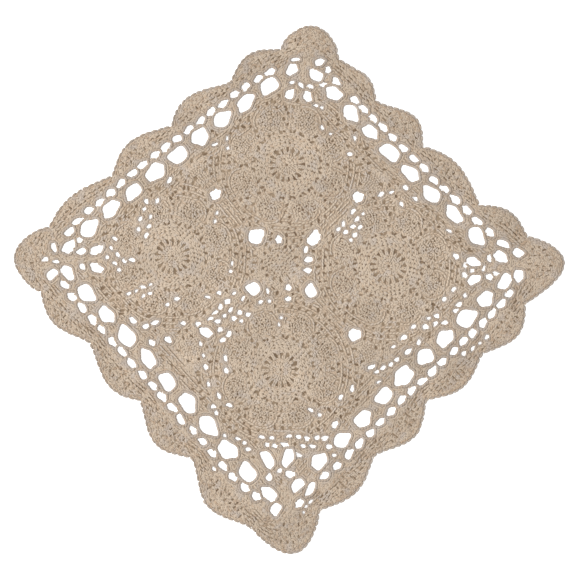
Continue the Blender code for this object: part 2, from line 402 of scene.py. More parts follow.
HolePatch = namedtuple("HolePatch", "x y turn rows columns pitch size")
HOLE_PATCHES = [
    HolePatch(*row)
    for row in (
        (120, 106, -57, 1, 3, 7.0, 3.4), (117, 85, -59, 1, 3, 4.8, 2.6),
        (109, 66, -82, 1, 2, 7.0, 2.4), (47, 114, 59, 1, 2, 8.0, 3.0), (-35, 120, 27, 2, 6, 7.5, 3.0),
        (107, -2, -33, 1, 2, 9.0, 3.4), (70, -1, 5, 3, 4, 6.3, 3.0), (0, 79, 37, 1, 2, 7.0, 2.4),
        (-76, 117, 86, 3, 5, 7.0, 3.4), (124, -96, 15, 1, 2, 8.0, 3.8),
        (-117, 147, -55, 1, 2, 8.0, 3.2), (-20, 43, 36, 1, 2, 7.0, 2.6),
        (100, -97, 47, 1, 5, 8.0, 3.6), (-87, 80, -21, 2, 4, 6.5, 2.8), (-44, 17, -1, 4, 7, 6.8, 3.5),
        (-46, 39, -55, 2, 2, 6.0, 3.2), (-15, 6, 52, 1, 2, 8.0, 2.6), (-72, 57, -9, 1, 2, 10.0, 2.7),
        (66, -101, -31, 2, 4, 7.0, 3.5), (-23, -14, 29, 1, 2, 6.0, 2.9),
        (-74, 35, -52, 1, 3, 5.5, 3.5), (-101, 57, -16, 1, 3, 7.5, 3.9),
        (72, -136, -9, 1, 4, 7.0, 3.3), (-84, 9, 58, 1, 3, 9.5, 3.4), (-77, -8, 44, 1, 2, 9.0, 3.3),
        (12, -98, -16, 1, 4, 6.5, 3.3), (-107, -24, 75, 1, 3, 5.5, 3.6),
        (-54, -84, -70, 1, 2, 7.0, 3.4), (-82, -93, -46, 3, 9, 7.0, 3.7),
        (-114, -56, 91, 2, 3, 6.5, 3.5), (-111, -132, 6, 1, 3, 4.5, 2.5),
        (-89, -102, -10, 1, 1, 7.0, 4.0), (-107, -70, -25, 1, 2, 9.3, 4.0),
        (-119, -62, 79, 1, 1, 7.0, 3.4), (-142, -59, 74, 1, 1, 7.0, 3.2),
        (-106, -97, 0, 1, 1, 7.0, 2.8),
    )
]


def small_hole(place, size, turn, pull):
    """A hole that may be drawn out long, and turned far from the way of the stitches."""
    share, longer = pull.uniform(*HOLE_SHARES), pull.uniform(*HOLE_STRETCH)
    size = size[0] * share * longer, size[1] * share / longer
    return uneven(place, size, turn + pull.uniform(-HOLE_TURN, HOLE_TURN), pull)


def patch_holes(pull):
    """Small holes in staggered rows about the middle of each patch, some left out where rows are many."""
    gaps = []
    for patch in HOLE_PATCHES:
        for row in range(patch.rows):
            for column in range(patch.columns):
                along = (column - (patch.columns - 1) / 2 + row % 2 / 2) * patch.pitch
                across = (row - (patch.rows - 1) / 2) * patch.pitch * PATCH_ROWS_APART
                place = turned(patch, math.radians(patch.turn), along, across)
                size = patch.size * PATCH_LONG, patch.size * PATCH_WIDE
                hole = small_hole(place, size, patch.turn, pull)
                if patch.rows == 1 or pull.random() < PATCH_SHARE:
                    gaps.append(hole)
    return gaps


def inner_holes(name, side, pull):
    """Small holes in the two inner rows."""
    gaps = []
    for place in inner_places(side):
        if clear_of_medallions(place) > 0 and pull.random() < INNER_HOLE_SHARE[name]:
            gaps.append(small_hole(place, INNER_HOLE, heading(side), pull))
    return gaps


def all_holes():
    """The solid's gaps with the numbers that shape their rims, and the small holes with theirs."""
    holes = [(gap, number) for number, gap in enumerate(all_gaps())]
    pull = random.Random(HOLE_SEED)
    wanted = patch_holes(pull)
    for name, side in SIDES.items():
        wanted += inner_holes(name, side, pull)
    for gap in wanted:
        if all(web_between(gap, other) >= HOLE_WEB for other, _ in holes):
            holes.append((gap, len(holes)))
    return holes


# Pits are the gaps between stitches that don't go through, floored with painted shade
PIT_WEB = 0.9
PIT_SEED = 12
PIT_SWAY = 0.08
PIT_SHIFT = 0.4
PIT_TWIST = 0.25
PIT_WIDTHS = (0.8, 1.15)
LARGEST_PIT = 1.15

# A medallion's pits from its middle outwards. A ring of them has a reach, a count and a size
PitSize = namedtuple("PitSize", "long wide least_share")
MIDDLE_PIT = (2.0, 1.8)
FINE_DOTS = ((3.4, 8), (5.7, 16), (8.1, 24))
FINE_DOT = PitSize(1.1, 0.8, 0.6)
SPOKES = 17
WEDGE_REACH = 12.7
WEDGE = PitSize(3.9, 2.3, 0.6)
WEDGE_POINT_REACH = 11.0
WEDGE_POINT = (3.7, 1.3)
WEDGE_LEAN = 0.22
WEDGE_WIDTHS = (0.8, 1.4)
DISC_DOTS = ((17.4, 30), (20.1, 36), (22.8, 42))
DISC_DOT = PitSize(2.2, 1.15, 0.5)
DISC_LEAN = 0.2
V_COUNT = 20
V_REACH = 26.2
V_LEAN = 0.5
V_APART = 0.055
V_PIT = PitSize(4.3, 1.9, 0.4)
ROUNDS = 8
FIRST_ROUND = 29.2
ROUND_PITCH = 4.7
MESH_PIT = PitSize(3.8, 2.1, 0.5)
MESH_PIT_PITCH = 6.2
MESH_LEAN = 0.45
JOIN_ROOM = 7.0

# The pits in petals, at the centre motif and in the inner rows
DOT = (1.9, 1.3)
DOT_PITCH = 2.7
DOT_SHARE = 0.85
DOT_SHIFT = 0.28
DOT_SIZES = (0.7, 1.15)
DOT_TURN = 80
DOT_REACH = 0.94
PETAL_ROOM = 2.0
SPOT_COUNT = 14
SPOT_REACH = 13.6
SPOT = PitSize(3.4, 2.2, 0.7)
CENTRE_DOTS = ((3.4, 7), (5.9, 13), (8.6, 20), (11.0, 24))
CENTRE_DOT = PitSize(2.2, 1.15, 0.6)
INNER_PIT_LEAN = 40

# The fewest places on a line, and how many points a ring has
FEWEST = 3
RING_STEPS = 72


def spread(points, pitch, closed=True, count=None):
    """Places a pitch apart, or a count of them, along a line of points, and its direction at each."""
    points = np.asarray(points, float)
    if closed:
        points = np.vstack((points, points[:1]))
    steps = np.hypot(*np.diff(points, axis=0).T)
    far = np.concatenate(([0], np.cumsum(steps)))
    count = count or max(FEWEST, round(far[-1] / pitch))
    at = (np.arange(count) + 0.5) * far[-1] / count
    x, y = np.interp(at, far, points[:, 0]), np.interp(at, far, points[:, 1])
    which = np.clip(np.searchsorted(far, at) - 1, 0, len(steps) - 1)
    way = np.diff(points, axis=0)[which]
    return x, y, np.arctan2(way[:, 1], way[:, 0])


def ring(centre, radius):
    angle = np.linspace(0, 2 * np.pi, RING_STEPS, endpoint=False)
    return np.stack((centre[0] + radius * np.cos(angle), centre[1] + radius * np.sin(angle)), axis=-1)


def ring_pits(centre, count, reach, size, lean, pull):
    """A ring of pits, each turned by lean from the way out and of its own size."""
    pits = []
    for number in range(count):
        angle = 2 * math.pi * (number + pull.uniform(-PIT_SWAY, PIT_SWAY)) / count
        place = out_from(centre, angle, reach + pull.uniform(-PIT_SHIFT, PIT_SHIFT))
        share = pull.uniform(size.least_share, LARGEST_PIT)
        turn = math.degrees(angle + lean + pull.uniform(-PIT_TWIST, PIT_TWIST))
        pits.append(Gap(*place, size.long * share, size.wide * pull.uniform(*PIT_WIDTHS), turn))
    return pits


def petals(centre):
    """The middle of each of a medallion's petals, and the way that it opens."""
    for number in range(PETALS):
        angle = 2 * math.pi * (number + 0.5) / PETALS
        yield out_from(centre, angle, PETAL_MIDDLE), angle


def near_petal(centre, x, y):
    """Whether a place lies on one of a medallion's petals or the row round it."""
    for middle, angle in petals(centre):
        dx, dy = x - middle[0], y - middle[1]
        ahead = dx * math.cos(angle) + dy * math.sin(angle)
        aside = dy * math.cos(angle) - dx * math.sin(angle)
        if math.hypot(ahead / (PETAL_LONG / 2 + PETAL_ROOM), aside / (PETAL_WIDE / 2 + PETAL_ROOM)) < 1:
            return True
    return False


def petal_dots(centre, angle, pull):
    """Small pits scattered over a petal, in uneven rows."""
    pits = []
    steps = int(max(PETAL_LONG, PETAL_WIDE) / 2 / DOT_PITCH) + 1
    for row in range(-steps, steps + 1):
        for number in range(-steps, steps + 1):
            ahead = (row + pull.uniform(-DOT_SHIFT, DOT_SHIFT)) * DOT_PITCH
            aside = (number + 0.5 * (row % 2) + pull.uniform(-DOT_SHIFT, DOT_SHIFT)) * DOT_PITCH
            inside = math.hypot(2 * ahead / PETAL_LONG, 2 * aside / PETAL_WIDE) < DOT_REACH
            size = pull.uniform(*DOT_SIZES)
            turn = math.degrees(angle) + pull.uniform(-DOT_TURN, DOT_TURN)
            if pull.random() < DOT_SHARE and inside:
                place = turned(centre, angle, ahead, aside)
                pits.append(Gap(*place, DOT[0] * size, DOT[1] * size, turn))
    return pits


def medallion_pits(centre, pull):
    """A medallion's dots, wedges, V pairs and rounds of mesh pits."""
    pits = [Gap(*centre, *MIDDLE_PIT, 0)]
    for reach, count in DISC_DOTS:
        pits += ring_pits(centre, count, reach, DISC_DOT, DISC_LEAN, pull)
    for reach, count in FINE_DOTS:
        pits += ring_pits(centre, count, reach, FINE_DOT, 0.0, pull)
    for wedge in ring_pits(centre, SPOKES, WEDGE_REACH, WEDGE, WEDGE_LEAN, pull):
        way = math.atan2(wedge.y - centre.y, wedge.x - centre.x)
        share = pull.uniform(*WEDGE_WIDTHS)
        point = out_from(centre, way, WEDGE_POINT_REACH)
        pits.append(wedge._replace(wide=wedge.wide * share))
        pits.append(Gap(*point, WEDGE_POINT[0] * share, WEDGE_POINT[1] * share, wedge.turn))
    for hand in (-1, 1):
        for pit in ring_pits(centre, V_COUNT, V_REACH, V_PIT, hand * V_LEAN, pull):
            dx, dy = pit.x - centre.x, pit.y - centre.y
            around = V_APART * hand
            pits.append(pit._replace(x=pit.x - dy * around, y=pit.y + dx * around))
    others = [other for other in MEDALLIONS.values() if other != centre]
    for number in range(ROUNDS):
        reach = FIRST_ROUND + (number + 0.5) * ROUND_PITCH
        count = round(2 * math.pi * reach / MESH_PIT_PITCH)
        lean = MESH_LEAN if number % 2 else -MESH_LEAN
        for pit in ring_pits(centre, count, reach, MESH_PIT, lean, pull):
            beyond = min(math.dist(pit[:2], other) for other in others) - math.dist(pit[:2], centre)
            if beyond > JOIN_ROOM:
                pits.append(pit)
    return pits


def all_pits():
    pull = random.Random(PIT_SEED)
    pits = ring_pits(CENTRE, SPOT_COUNT, SPOT_REACH, SPOT, 0.0, pull)
    for reach, count in CENTRE_DOTS:
        pits += ring_pits(CENTRE, count, reach, CENTRE_DOT, DISC_LEAN, pull)
    for centre in MEDALLIONS.values():
        pits += medallion_pits(centre, pull)
    for side in SIDES.values():
        for place in inner_places(side):
            pits.append(uneven(place, MESH_PIT, heading(side) + INNER_PIT_LEAN, pull))
    pits = [pit for pit in pits if not any(near_petal(c, pit.x, pit.y) for c in MEDALLIONS.values())]
    for centre in MEDALLIONS.values():
        for middle, angle in petals(centre):
            pits += petal_dots(middle, angle, pull)
    return pits


# Grains of yarn. A row of the array is one grain, with these columns
X, Y, ANGLE, LENGTH, WIDTH, LIFT, TILT, ROUND, TONE, ROLL = range(10)

# The map of what is taken: its cells, what a grain needs free and what it then takes
CELL = 0.25
HALF_GRID = 180.0
OVERLAP = 0.26
GROOVE = 1
LAY_REACH = 0.6
CLOSE = 0.3
LAY_SAMPLES = 3
TAKEN_REACH = 0.75
TAKEN_SAMPLES = 9

# How far grains stray from their places and sizes
LAY_SEED = 5
TONE_SEED = 3
RIM_CARE = 0.4
GRAIN_SHIFT = 0.07
GRAIN_LEAN = 0.08
GRAIN_LENGTHS = (0.94, 1.1)
GRAIN_WIDTHS = (0.9, 1.1)
GRAIN_RISE = 0.12

GRAIN_WIDTH = 1.5
GRAIN_TILT = 0.1
PLAIN_TONE = 0.62
# The rim tone is painted shade: it darkens and greys the grains at the edges of gaps and of the cloth
RIM_SHADE_TONE = 0.08
EDGING_TONE = 0.72
BEHIND_TONE = 0.44
TONE_SPREAD = 0.8
V_SLANT = math.radians(22)
V_SIDE = 0.4
CHAIN_PITCH = 3.2
CHAIN_LENGTH = 1.14
CHAIN_LIFT = 0.12

# A cord's grains lie end over end, and breaks follow a wave along it
CORD_PITCH = 2.7
CORD_LENGTH = 1.2
CORD_WIDTH = 1.75
CORD_LIFT = 0.08
CORD_SLANT = math.radians(12)
CORD_ROLL = 0.2
# Cords keep cells free beside them, and a strip of painted shade lies under them
CORD_LAID = {"clear": 3, "shade": 0.6}
BREAK_PACE = 0.52
BREAK_STEP = 2.3
BREAK_DEPTH = -0.5

# A tall stitch has two pairs of strands: where along it, how long and how much they slant
STRANDS = ((0.25, 0.54, 0.1), (0.74, 0.5, -0.12))
STRAND_GAP = 0.68
STRAND_TILT = 0.08
WRAP_SLANT = 0.95
WRAP = (2.4 * GRAIN_WIDTH, 0.8 * GRAIN_WIDTH)
WRAP_LIFT = 0.32

# The rings of grains round gaps. The first one lies on the rim, and the second one outside it
RIM_SLANT = math.radians(14)
RIM_WIDTH = 2.5
SMALL_RIM_WIDTH = 1.6
LARGE_GAP = 6.0
SMALL_GAP = 3.5
RIM_OUT = 0.48
SECOND_RIM_OUT = 0.9
RIM_STEPS = 48
RIM_PITCH = 2.2
SMALL_RIM_PITCH = 1.6
RIM_LENGTH = 4.1
SMALL_RIM_LENGTH = 2.5
RIM_LIFT = 0.05
RIM_TILT = 0.08
RIM_ROLL = 0.6
EDGE_ROLL = -0.6
SMALL_ROLL = 0.4


def grains(x, y, angle, length, width=GRAIN_WIDTH, lift=0.0, tilt=0.0, whole=0.0, tone=PLAIN_TONE, roll=0.0):
    columns = np.broadcast_arrays(x, y, angle, length, width, lift, tilt, whole, tone, roll)
    return np.stack([np.ravel(c) for c in columns], axis=-1).astype(float)


class Cloth:
    """The grains laid so far, piece by piece, and a map of where no more can be laid."""

    def __init__(self, edge, holes, seed):
        self.pieces = {}
        self.pits = []
        self.chance = np.random.default_rng(seed)
        cells = int(2 * HALF_GRID / CELL)
        self.taken = np.ones((cells, cells), bool)
        self.open_inside(np.array(edge))
        for gap, phase in holes:
            self.taken[self.inside(gap, phase)] = True
        self.pitted = np.zeros_like(self.taken)

    def cell(self, value):
        return np.clip(((value + HALF_GRID) / CELL).astype(int), 0, len(self.taken) - 1)

    def open_inside(self, edge):
        """Frees the cells inside the edge, one line of the map at a time."""
        ahead = np.roll(edge, -1, axis=0)
        for line in range(len(self.taken)):
            y = (line + 0.5) * CELL - HALF_GRID
            crosses = (edge[:, 1] > y) != (ahead[:, 1] > y)
            a, b = edge[crosses], ahead[crosses]
            where = np.sort(a[:, 0] + (y - a[:, 1]) / (b[:, 1] - a[:, 1]) * (b[:, 0] - a[:, 0]))
            for left, right in where.reshape(-1, 2):
                self.taken[line, self.cell(left) : self.cell(right)] = False

    def inside(self, gap, phase):
        """The lines and columns of the map's cells in a gap."""
        reach = gap.long
        xs = np.arange(gap.x - reach, gap.x + reach, CELL)
        ys = np.arange(gap.y - reach, gap.y + reach, CELL)
        dx, dy = xs[None, :] - gap.x, ys[:, None] - gap.y
        turn = math.radians(gap.turn)
        along = (dx * math.cos(turn) + dy * math.sin(turn)) * 2 / gap.long
        across = (dy * math.cos(turn) - dx * math.sin(turn)) * 2 / gap.wide
        lump = swelling(np.arctan2(across, along), phase)
        rows, columns = np.nonzero(np.hypot(along, across) < lump)
        return self.cell(ys[rows]), self.cell(xs[columns])

    def close_pit(self, pit):
        """Keeps a pit free of yarn, where all of it lies on bare cloth or on other pits."""
        cells = self.inside(pit._replace(long=pit.long + PIT_WEB, wide=pit.wide + PIT_WEB), 0.0)
        if not (self.taken[cells] & ~self.pitted[cells]).any():
            cells = self.inside(pit, 0.0)
            self.taken[cells] = True
            self.pitted[cells] = True
            self.pits.append(pit)

    def samples(self, rows, reach, count):
        """The map's cells under a count of places along each grain."""
        share = np.linspace(-reach, reach, count)[None, :] * rows[:, LENGTH, None] / 2
        x = rows[:, X, None] + share * np.cos(rows[:, ANGLE, None])
        y = rows[:, Y, None] + share * np.sin(rows[:, ANGLE, None])
        return self.cell(y), self.cell(x)

    def lay(self, piece, rows, reach=LAY_REACH, care=1.0, clear=0, shade=0.0):
        """Adds the grains that lie where there is no yarn yet.

        clear is how many more cells stay free beside them, and shade how much wider than them the strip of
        painted shade below is.
        """
        line, column = self.samples(rows, reach, LAY_SAMPLES)
        rows = rows[~self.taken[line, column].any(axis=1)]
        if not len(rows):
            return
        line, column = self.samples(rows, TAKEN_REACH, TAKEN_SAMPLES)
        aside = max(1, int((rows[:, WIDTH].mean() / 2 - OVERLAP) / CELL)) + clear
        for down in range(-aside, aside + 1):
            for right in range(-aside, aside + 1):
                self.taken[line + down, column + right] = True
        # A strip of painted shade under the grains, laid as pits
        if shade:
            for x, y, angle, length, width in rows[:, :LIFT]:
                self.pits.append(Gap(x, y, length, width + shade, math.degrees(angle)))
        count = len(rows)
        rows = rows.copy()
        for which, size in ((X, GRAIN_SHIFT), (Y, GRAIN_SHIFT), (ANGLE, GRAIN_LEAN)):
            rows[:, which] += care * self.chance.normal(0, size, count)
        rows[:, LENGTH] *= self.chance.uniform(*GRAIN_LENGTHS, count)
        rows[:, WIDTH] *= self.chance.uniform(*GRAIN_WIDTHS, count)
        rows[:, LIFT] += self.chance.uniform(0, GRAIN_RISE, count)
        self.pieces.setdefault(piece, []).append(rows)


def chain(points, closed=True, pitch=CHAIN_PITCH, width=GRAIN_WIDTH, lift=CHAIN_LIFT):
    """A row of chain stitches: two slanting grains each, that make a V."""
    x, y, way = spread(points, pitch, closed)
    rows = []
    for side in (-1, 1):
        off = side * V_SIDE * width
        place = x - off * np.sin(way), y + off * np.cos(way)
        rows.append(grains(*place, way - side * V_SLANT, pitch * CHAIN_LENGTH, width, lift, GRAIN_TILT))
    return np.vstack(rows)


def cord(points, closed=True, breaks=None):
    """A smooth row of long grains, laid end over end. With a number for breaks it comes and goes."""
    x, y, way = spread(points, CORD_PITCH, closed)
    length = CORD_PITCH * CORD_LENGTH
    rows = grains(x, y, way + CORD_SLANT, length, CORD_WIDTH, CORD_LIFT, roll=CORD_ROLL)
    if breaks is not None:
        rows = rows[np.sin(np.arange(len(rows)) * BREAK_PACE + BREAK_STEP * breaks) > BREAK_DEPTH]
    return rows


def posts(feet, tops):
    """Tall stitches from feet to tops: two twisted strands each, with a wrap across the middle."""
    way = tops - feet
    tall = np.hypot(way[:, 0], way[:, 1])
    angle = np.arctan2(way[:, 1], way[:, 0])
    across = np.stack((-np.sin(angle), np.cos(angle)), axis=-1) * STRAND_GAP
    rows = []
    for share, long, slant in STRANDS:
        for side in (-1, 1):
            place = feet + way * share + side * across
            rows.append(grains(*place.T, angle + side * slant, tall * long, tilt=STRAND_TILT))
    place = feet + way * 0.5
    rows.append(grains(*place.T, angle + WRAP_SLANT, *WRAP, lift=WRAP_LIFT))
    return np.vstack(rows)


def ring_posts(centre, inner, outer, count):
    angle = math.pi / count + 2 * np.pi * np.arange(count) / count
    way = np.stack((np.cos(angle), np.sin(angle)), axis=-1)
    return posts(np.asarray(centre) + way * inner, np.asarray(centre) + way * outer)


def radial_grains(centre, radius, count, turn, length, width=GRAIN_WIDTH):
    angle = turn + 2 * np.pi * np.arange(count) / count
    x, y = centre[0] + radius * np.cos(angle), centre[1] + radius * np.sin(angle)
    return grains(x, y, angle, length, width, tilt=GRAIN_TILT)


def rim_row(gap, phase, step):
    """A ring of slanting grains round a gap. Rings of two gaps that meet make a braid."""
    small = gap.long < SMALL_GAP
    first = RIM_WIDTH if gap.long > LARGE_GAP else SMALL_RIM_WIDTH
    length = SMALL_RIM_LENGTH if small else RIM_LENGTH
    out = first * SECOND_RIM_OUT + GRAIN_WIDTH * 0.5 if step else first * RIM_OUT
    x, y, way = spread(gap_rim(gap, phase, out, RIM_STEPS), SMALL_RIM_PITCH if small else RIM_PITCH)
    if step:
        return grains(x, y, way - RIM_SLANT, length, GRAIN_WIDTH, RIM_LIFT, RIM_TILT, roll=SMALL_ROLL)
    roll = SMALL_ROLL if small else RIM_ROLL
    # The first ring gets the rim tone, painted shade at the gap's edge
    return grains(x, y, way + RIM_SLANT, length, first, 0.0, RIM_TILT, 1.0, RIM_SHADE_TONE, roll)


# The petals and part motifs are fans of fine, dense stitches
ARC_STEPS = 40
PETAL_FOCUS = 11.5
SHARPEST_ARC = 6.0
FINE_PITCH = 2.05
FINE_ROWS = 1.8
FINE_GRAIN = (2.1, 1.25)
PETAL_LIFT = 0.1
PETAL_RISE = 0.45
PETAL_SLANT = 0.5
PETAL_UNEVEN = 0.5
UNEVEN_ALONG = 7.3
UNEVEN_BY_ROW = 2.1


def petal(centre, angle, long=PETAL_LONG, wide=PETAL_WIDE):
    """Fine grains in arcs over an oval round centre. angle is the way that the fan opens."""
    rows = []
    for step in range(int(long / FINE_ROWS)):
        ahead = (step + 0.5) * FINE_ROWS - long / 2
        half = wide / 2 * math.sqrt(max(0.0, 1 - (2 * ahead / long) ** 2))
        radius = PETAL_FOCUS + ahead
        count = max(1, round(2 * half / FINE_PITCH))
        off = (np.arange(count) + 0.5 * (step % 2)) / count * 2 * half - half
        bend = off / max(radius, SHARPEST_ARC)
        x = ahead - radius * (1 - np.cos(bend))
        y = radius * np.sin(bend)
        rise = PETAL_RISE * (1 - (2 * ahead / long) ** 2) * (1 - (off / max(half, 1)) ** 2)
        slant = PETAL_SLANT if step % 2 else -PETAL_SLANT
        slant = slant + PETAL_UNEVEN * np.sin(off * UNEVEN_ALONG + step * UNEVEN_BY_ROW)
        place = turned(centre, angle, x, y)
        rows.append(grains(*place, angle + bend + slant, *FINE_GRAIN, lift=PETAL_LIFT + rise))
    return np.vstack(rows)


def arc_round(centre, angle, radius_long, radius_wide, sweep):
    """Points of an oval arc round a petal's outer end."""
    turn = np.linspace(-sweep, sweep, ARC_STEPS)
    return np.stack(turned(centre, angle, radius_long * np.cos(turn), radius_wide * np.sin(turn)), axis=-1)


# Rings of grains that point outwards, as reach, count and length, and the rounds outside them
DISC_RINGS = ((2.4, 9, 2.8), (4.6, 17, 2.8), (6.9, 25, 2.8))
SPOKE_ENDS = (8.6, 14.8)
DISC_CHAINS = (16.0, 18.7, 21.4, 24.1)
PETAL_ARC_OUT = 1.5
PETAL_ARC_SWEEP = 1.9
CENTRE_RINGS = ((2.0, 7, 2.6), (4.6, 14, 2.8), (7.2, 22, 2.8))
CENTRE_CHAIN = 10.0
CENTRE_POSTS = (11.2, 16.0)
CENTRE_EDGE = 17.0
FINE_WIDTH = 1.2
FINE_CHAIN_PITCH = 2.8
MOTIF_TURN = 0.1


def medallion(cloth, piece, centre, turn):
    for reach, count, length in DISC_RINGS:
        cloth.lay(piece, radial_grains(centre, reach, count, turn, length))
    cloth.lay(piece, ring_posts(centre, *SPOKE_ENDS, SPOKES))
    for radius in DISC_CHAINS:
        cloth.lay(piece, chain(ring(centre, radius)))
    size = PETAL_LONG / 2 + PETAL_ARC_OUT, PETAL_WIDE / 2 + PETAL_ARC_OUT
    for number, (middle, angle) in enumerate(petals(centre)):
        cloth.lay(piece, petal(middle, angle), reach=CLOSE)
        arc = arc_round(middle, angle, *size, PETAL_ARC_SWEEP)
        cloth.lay(piece, cord(arc, closed=False, breaks=number + centre.x), **CORD_LAID)


def centre_motif(cloth):
    for reach, count, length in CENTRE_RINGS:
        cloth.lay("centre", radial_grains(CENTRE, reach, count, MOTIF_TURN, length, FINE_WIDTH))
    cloth.lay("centre", chain(ring(CENTRE, CENTRE_CHAIN), pitch=FINE_CHAIN_PITCH, width=FINE_WIDTH))
    cloth.lay("centre", ring_posts(CENTRE, *CENTRE_POSTS, SPOT_COUNT))
    cloth.lay("centre", chain(ring(CENTRE, CENTRE_EDGE)))


FILLER_OUT = 38.0
FILLER = (15.0, 21.0)
FILLER_ARC = (9.0, 12.0, 1.6)


def fillers(cloth):
    """A fan between each two neighbouring medallions, at the edge of the field."""
    for side in SIDES.values():
        middle, (east, north) = join_axis(side)
        middle = place_on(middle, (east, north), 0.0, FILLER_OUT)
        angle = math.atan2(east, -north)
        cloth.lay("centre", petal(middle, angle, *FILLER), reach=CLOSE)
        cloth.lay("centre", chain(arc_round(middle, angle, *FILLER_ARC), closed=False))


# The edging: a row along the rim, then rows of tall stitches down to the net
BAND_DEPTH = 9.5
BASE_CROWN = 0.2
RIM_IN = 0.95
BUMP_PITCH = 5.0
BUMP_WIDTH = 2.3
BUMP_SHARE = 1.05
BEHIND_IN = 1.5
BEHIND_SLANT = 0.35
BEHIND_LENGTH = 2.9
BEHIND_LIFT = 0.1
POST_PITCH = 4.8
POST_PIT = (3.7, 1.25)
POST_PIT_UP = 0.6
LOW_POST = 2.9
NOTCH_PIT = (5.0, 1.0)
POST_PIT_SHARE = 0.95
POST_SEED = 8
LEVELS = (0.15, 0.37, 0.59, 0.8, 1.0)
TIP_LEVELS = (0.12, 0.29, 0.47, 0.65, 0.82, 1.0)
FOOT_UP = 0.03
POST_CHAIN_LIFT = 0.18
BASE_CORDS = (0.8, 1.0, 1.2)
NOTCH_GRAINS = 4


def band_strip(name, notch, next_name, after):
    """The outer and inner line of a scallop's band, point by point."""
    lines = []
    for inward, share in ((0.0, 1.0), (BAND_DEPTH, BASE_CROWN)):
        start, end = notch_place(name, notch, inward), notch_place(next_name, after, inward)
        line = scallop(start, end, notch._replace(crown=notch.crown * share), EDGE_STEPS)
        lines.append(np.array([*line, end]))
    return lines


def band_line(strip, share):
    return strip[0] + (strip[1] - strip[0]) * share


def edge_bumps(cloth):
    """The rounded tops of the outermost stitches, and a row close behind them."""
    edge = np.array(edge_outline(EDGE_STEPS))
    x, y, way = spread(edge, BUMP_PITCH)
    names = np.array([name for name, *_ in scallops() for _ in range(EDGE_STEPS)])
    nearest = np.argmin(np.hypot(x[:, None] - edge[:, 0], y[:, None] - edge[:, 1]), axis=1)
    for name in SIDES:
        mine = names[nearest] == name
        start, angle = (x[mine], y[mine]), way[mine]
        east_north = np.cos(angle), np.sin(angle)
        place = place_on(start, east_north, 0.0, -RIM_IN)
        size = BUMP_PITCH * BUMP_SHARE, BUMP_WIDTH
        # The outermost grains get the rim tone, painted shade along the cloth's edge
        rows = grains(*place, angle, *size, whole=1.0, tone=RIM_SHADE_TONE, roll=EDGE_ROLL)
        cloth.lay("edging_" + name, rows, reach=CLOSE)
        for side in (-1, 1):
            place = place_on(start, east_north, side * BUMP_PITCH / 4, -RIM_IN - BEHIND_IN)
            lean = angle + side * BEHIND_SLANT
            rows = grains(*place, lean, BEHIND_LENGTH, lift=BEHIND_LIFT, tone=BEHIND_TONE)
            cloth.lay("edging_" + name, rows, reach=CLOSE)


def post_pits(feet, tops, tall, pull):
    """The slots between neighbouring tall stitches. They lie across where the stitches are low."""
    pits = []
    between = ((tops[1:] + tops[:-1]) * POST_PIT_UP + (feet[1:] + feet[:-1]) * (1 - POST_PIT_UP)) / 2
    ways = np.arctan2(*(tops - feet)[1:].T[::-1])
    for place, angle, height in zip(between, ways, tall[1:]):
        pit = uneven(place, POST_PIT, math.degrees(angle), pull)
        if height < LOW_POST:
            pit = Gap(*place, *NOTCH_PIT, math.degrees(angle) + 90)
        if pull.random() < POST_PIT_SHARE:
            pits.append(pit)
    return pits


def edging(cloth):
    edge_bumps(cloth)
    pull = random.Random(POST_SEED)
    for name, notch, next_name, after in scallops():
        piece = "edging_" + name
        strip = band_strip(name, notch, next_name, after)
        levels = LEVELS if next_name == name else TIP_LEVELS
        for top, foot in zip(levels, levels[1:]):
            high, low = band_line(strip, top), band_line(strip, foot - FOOT_UP)
            tops = np.stack(spread(high, POST_PITCH, False)[:2], axis=-1)
            feet = np.stack(spread(low, POST_PITCH, False, len(tops))[:2], axis=-1)
            tall = np.hypot(*(tops - feet).T)
            for pit in post_pits(feet, tops, tall, pull):
                cloth.close_pit(pit)
            cloth.lay(piece, chain(high, closed=False, lift=POST_CHAIN_LIFT))
            cloth.lay(piece, posts(feet[tall >= LOW_POST], tops[tall >= LOW_POST]))
        for share in BASE_CORDS:
            rows = cord(band_line(strip, share), closed=False)
            few = min(NOTCH_GRAINS, len(rows) // 2)
            cloth.lay(piece, np.vstack((rows[:few], rows[-few:])), **CORD_LAID)
        cloth.lay(piece, chain(band_line(strip, 1.0), closed=False))


# The rest of the cloth: cords, rounds and rows, and then grains wherever it is still bare
NET_DEPTH = 34.0
NET_REACH = 58.0
CENTRE_REACH = 36.0
CENTRE_TURN_REACH = 18.0
FILL_PITCH = 2.9
FILL_PASSES = 60
FILL_GRAINS = ((3.2, 1.5), (2.3, 1.25), (1.7, 1.1))
FILL_SLANT = 0.3
JOIN_CORDS = (-4.4, -1.5, 1.4, 4.3)
JOIN_ENDS = (21.0, 84.0)
FLAT_CORDS = (27.5, 30.6, 33.7)
FLAT_CORD_REACH = 15.0
SIDE_ROWS = 9
FIRST_SIDE_ROW = -6.5
SIDE_ROW_PITCH = 3.0
FIRST_CORD_ROUND = 4
ROUND_POST_PITCH = 2.05
ROUND_POST_LENGTH = 2.6


def side_depths(x, y):
    """How far in from each side's line of tips the places are."""
    depths = []
    for side in SIDES.values():
        start, angle = CORNERS[side.start], side_angle(side)
        depths.append((x - start.x) * math.sin(angle) - (y - start.y) * math.cos(angle))
    return np.stack(depths)


